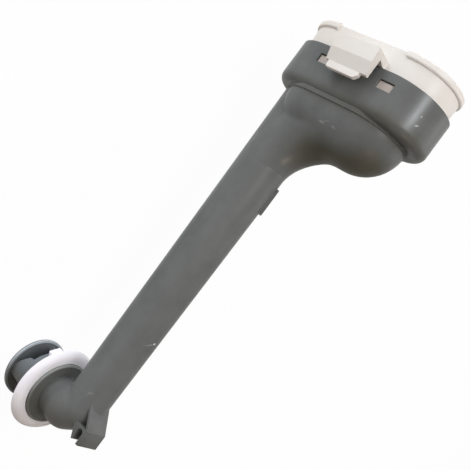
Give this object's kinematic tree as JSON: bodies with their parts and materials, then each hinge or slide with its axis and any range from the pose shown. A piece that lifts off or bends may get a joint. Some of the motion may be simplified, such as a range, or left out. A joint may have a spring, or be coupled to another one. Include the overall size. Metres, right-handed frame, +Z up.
{
  "type": "dishwasher upper spray arm feed tube",
  "caption": "Plastic water tube for a dishwasher's upper spray arm: tall docking mouth with latch, round tube, wire clip, elbow and spool hub with a turning bearing ring.",
  "frame": {"origin": "on the axis of the basket wire that the clip holds, in the middle of the clip's width", "axes": "+X along the tube from the docking mouth to the hub, +Y along the wire, +Z up in the attitude of use, so the hub points down"},
  "size_m": [0.2856, 0.0634, 0.1264],
  "materials": {
    "duct_grey": "satin grey",
    "insert_white": "satin off-white",
    "ring_white": "smooth white",
    "hub_grey": "satin grey"
  },
  "bodies": {
    "duct": {"feed_duct": "duct_grey", "docking_insert": "insert_white", "spray_hub": "hub_grey"},
    "ring": {"bearing_ring": "ring_white"}
  },
  "joints": [
    {"name": "ring_spin", "type": "hinge", "parent": "duct", "child": "ring", "pos_m": [-0.0019, 0, -0.0405], "axis": [0, 0, 1], "continuous": true}
  ]
}
